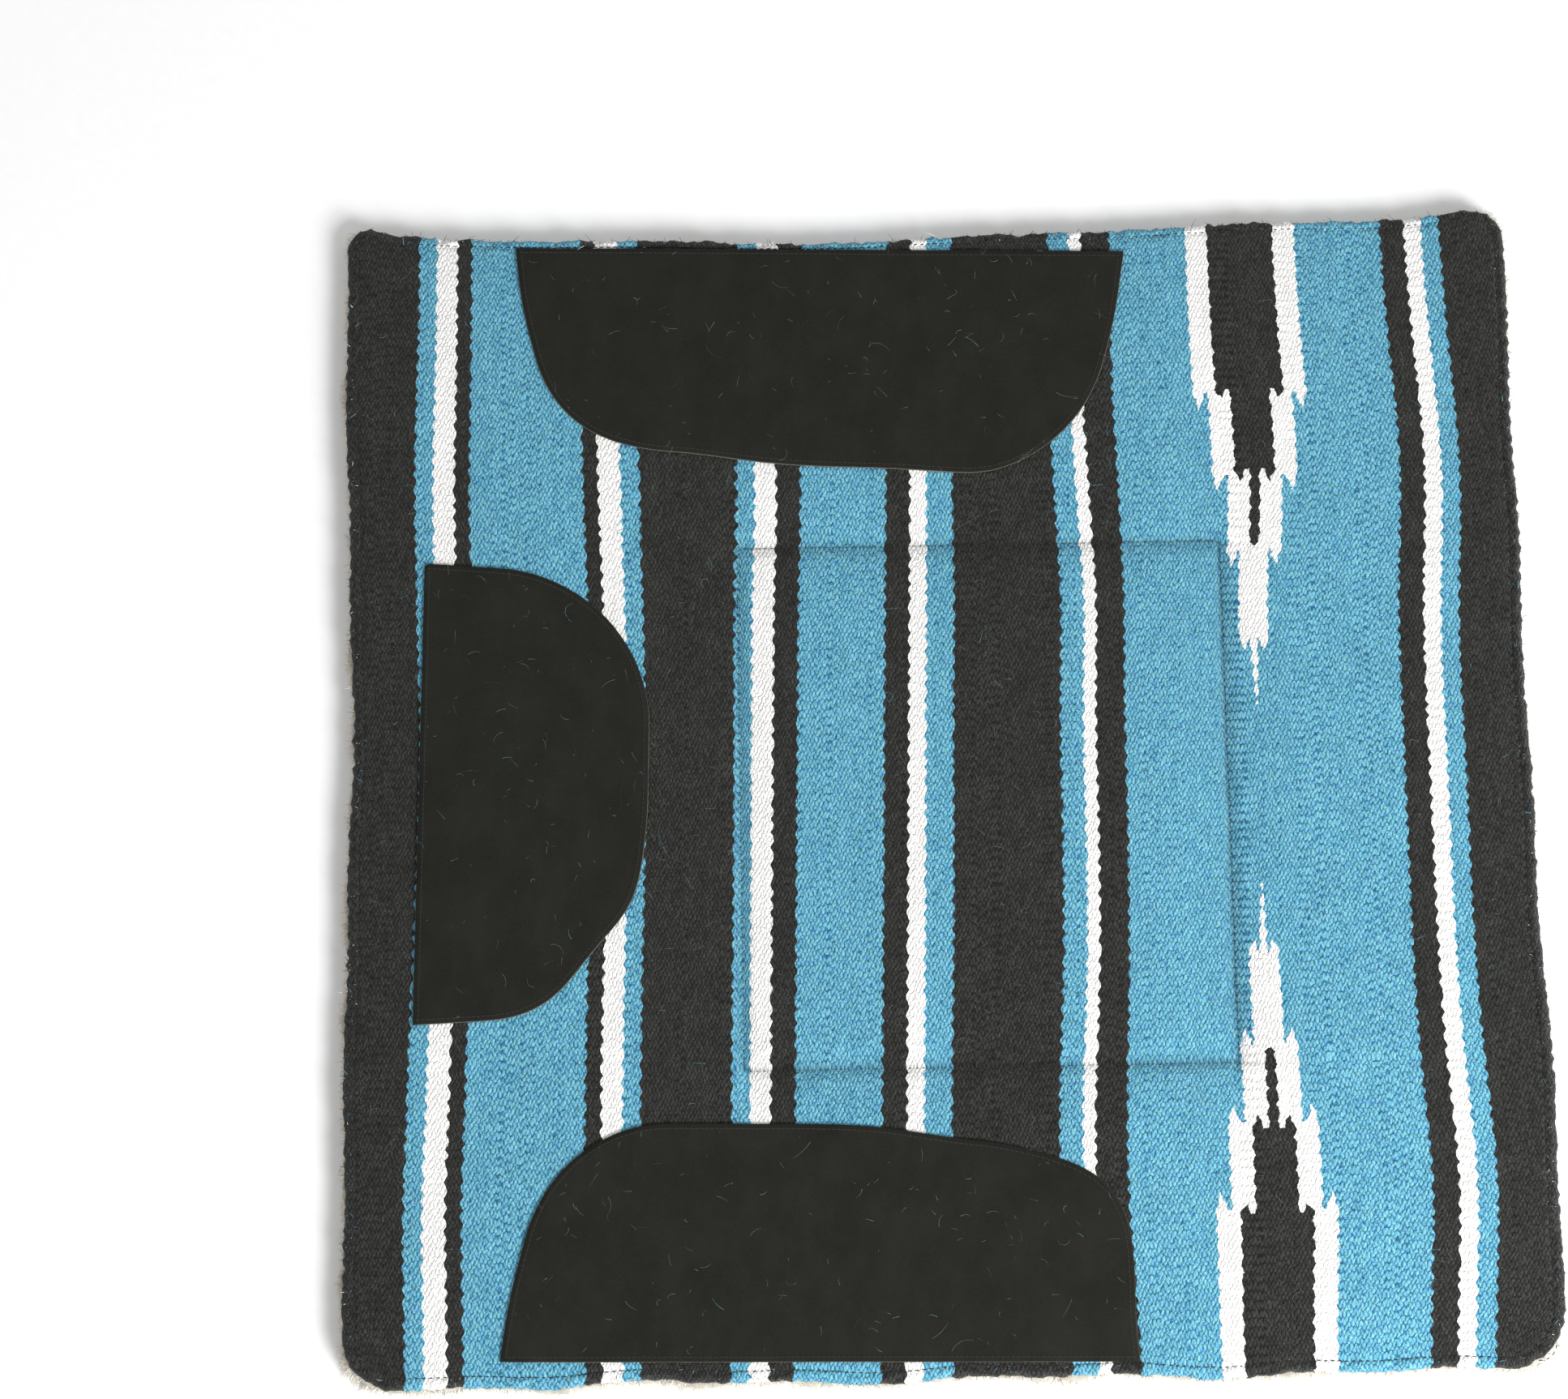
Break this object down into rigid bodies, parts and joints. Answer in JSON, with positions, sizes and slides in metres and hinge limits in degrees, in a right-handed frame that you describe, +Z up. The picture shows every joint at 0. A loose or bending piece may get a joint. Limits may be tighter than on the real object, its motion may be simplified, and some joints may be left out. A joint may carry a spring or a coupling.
{
  "type": "saddle pad",
  "caption": "Square western saddle pad: striped woven top, felt core, fleece lining and suede wear patches, folding along the spine.",
  "frame": {"origin": "centre of the underside, on the spine line, at the surface that the pad lies on", "axes": "+X along the horse's spine towards the tail, +Y across towards the off side, +Z up from lining to woven top"},
  "size_m": [0.762, 0.762, 0.0243],
  "materials": {
    "woven_wool": "weft-faced wool blend weave in turquoise, black and white stripes, rough and slightly fuzzy",
    "suede": "black suede, matt nap with a pale cut edge",
    "fleece": "cream fleece pile",
    "felt": "dense needled felt, grey",
    "thread": "black bonded thread, slight sheen"
  },
  "bodies": {
    "near_half": {"fleece_lining_near": "fleece", "felt_core_near": "felt", "woven_cover_near": "woven_wool", "wither_patch_near": "suede", "wither_thread_near": "thread", "hem_thread_near": "thread", "quilting_thread_near": "thread", "side_patch_near": "suede", "side_thread_near": "thread"},
    "off_half": {"fleece_lining_off": "fleece", "felt_core_off": "felt", "woven_cover_off": "woven_wool", "wither_patch_off": "suede", "wither_thread_off": "thread", "hem_thread_off": "thread", "quilting_thread_off": "thread", "side_patch_off": "suede", "side_thread_off": "thread"}
  },
  "joints": [
    {"name": "spine_fold", "type": "hinge", "parent": "near_half", "child": "off_half", "pos_m": [0, 0, 0.025], "axis": [1, 0, 0], "range_deg": [0, 170]}
  ]
}
